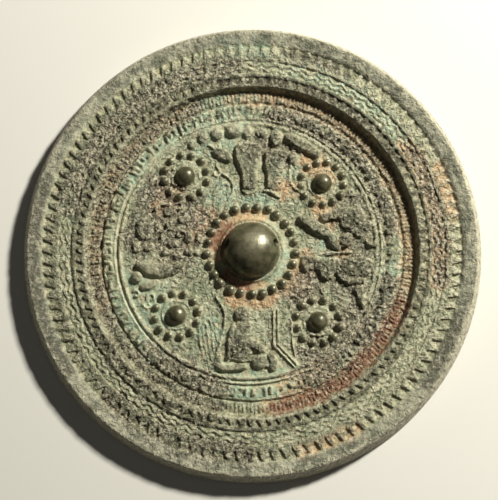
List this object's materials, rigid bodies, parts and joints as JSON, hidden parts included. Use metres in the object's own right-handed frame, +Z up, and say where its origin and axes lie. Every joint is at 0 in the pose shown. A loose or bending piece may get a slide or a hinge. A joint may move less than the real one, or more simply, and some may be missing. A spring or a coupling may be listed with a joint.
{
  "type": "ancient bronze mirror",
  "caption": "Round cast bronze mirror lying on its smooth face, its back with a raised rim, a pierced central boss, beaded nipples and figures in low relief.",
  "frame": {"origin": "centre of the underside, on the flat middle of the smooth face that the mirror lies on", "axes": "+Z up out of the decorated back, +Y to the top of the design, +X along the cord hole through the boss"},
  "size_m": [0.21, 0.21, 0.0152],
  "materials": {
    "patinated_bronze": "cast bronze under a dull green and tan patina, worn dark on the raised parts"
  },
  "bodies": {
    "root": {"mirror": "patinated_bronze"}
  },
  "joints": []
}
